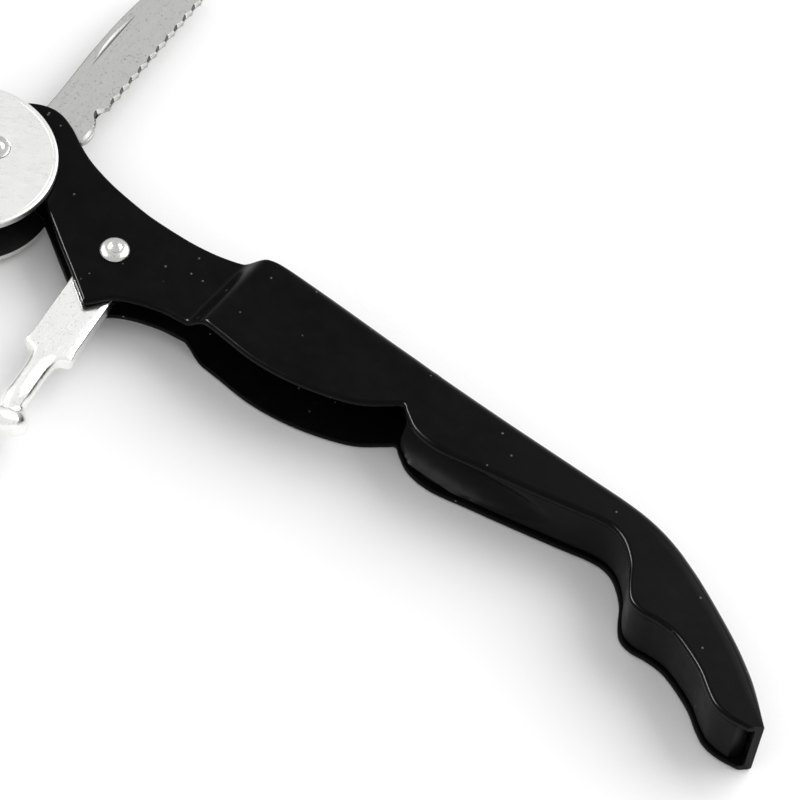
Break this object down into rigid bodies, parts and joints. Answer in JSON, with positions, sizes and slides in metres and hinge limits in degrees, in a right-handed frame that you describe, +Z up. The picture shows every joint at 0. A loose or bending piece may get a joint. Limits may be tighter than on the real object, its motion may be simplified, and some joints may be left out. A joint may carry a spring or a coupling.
{
  "type": "lever corkscrew",
  "caption": "Waiter's lever corkscrew lying open: curved channel handle with finger grooves, folding worm, serrated foil knife and a hinged two-stage lever with round cheeks.",
  "frame": {"origin": "on the flat outer face of the handle's lower cheek, below the middle of the handle; the object lies on this face", "axes": "+X along the handle to its tail, +Y to the handle's back, +Z up, square to the cheeks and along every hinge"},
  "size_m": [0.1758, 0.1041, 0.0104],
  "materials": {
    "black_painted_steel": "semi-matte black coating",
    "black_plastic": "moulded, satin",
    "bright_plated_steel": "bright plated wire",
    "lever_steel": "satin plated pressing",
    "satin_steel": "satin stainless steel",
    "grey_steel": "plain steel"
  },
  "bodies": {
    "handle": {"handle_shell": "black_painted_steel", "grip_insert": "black_plastic", "worm_rivet": "satin_steel", "knife_rivet": "grey_steel", "knife_washer_upper": "grey_steel", "knife_washer_lower": "grey_steel", "lever_pivot_rivet": "grey_steel", "lever_washer_upper": "grey_steel", "lever_washer_lower": "grey_steel", "pivot_bushing": "grey_steel"},
    "worm": {"worm": "bright_plated_steel"},
    "knife": {"knife_blade": "satin_steel"},
    "lever_upper": {"lever_upper_arm": "lever_steel", "link_rivet": "grey_steel", "link_washer_upper": "grey_steel", "link_washer_lower": "grey_steel", "link_bushing": "grey_steel"},
    "lever_lower": {"lever_lower_arm": "lever_steel"}
  },
  "joints": [
    {"name": "worm_fold", "type": "hinge", "parent": "handle", "child": "worm", "pos_m": [-0.03, -0.004, 0.0052], "axis": [0, 0, 1], "range_deg": [-5, 81.5]},
    {"name": "knife_fold", "type": "hinge", "parent": "handle", "child": "knife", "pos_m": [-0.0476, 0.003, 0.0052], "axis": [0, 0, 1], "range_deg": [-93, 20]},
    {"name": "lever_swing", "type": "hinge", "parent": "handle", "child": "lever_upper", "pos_m": [-0.0506, -0.0021, 0.0052], "axis": [0, 0, 1], "range_deg": [-40, 67]},
    {"name": "lever_knee", "type": "hinge", "parent": "lever_upper", "child": "lever_lower", "pos_m": [-0.07571, -0.0166, 0.0052], "axis": [0, 0, 1], "range_deg": [-80, 0]}
  ]
}
